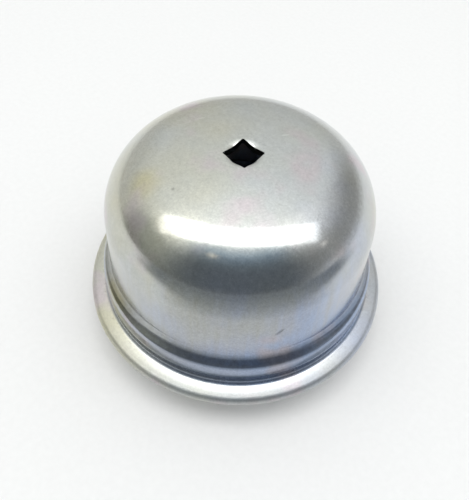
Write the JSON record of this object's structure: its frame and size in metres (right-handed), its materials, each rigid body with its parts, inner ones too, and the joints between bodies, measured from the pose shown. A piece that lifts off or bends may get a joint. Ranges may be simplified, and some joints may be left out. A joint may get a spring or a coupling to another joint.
{
  "type": "hub grease cap",
  "caption": "Round drawn-steel wheel hub grease cap with a domed crown, a square drive hole through it, a bead round the foot of its wall, a folded seating flange and a short press-in skirt.",
  "frame": {"origin": "centre of the skirt's rim, on the cap's axis, in the plane that the cap stands on", "axes": "+Z along the cap's axis from the rim to the crown; X and Y square to the flats of the drive hole"},
  "size_m": [0.059, 0.059, 0.0408],
  "materials": {
    "zinc_plate": "semi-bright zinc plate with a faintly iridescent clear passivate"
  },
  "bodies": {
    "root": {"grease_cap": "zinc_plate"}
  },
  "joints": []
}
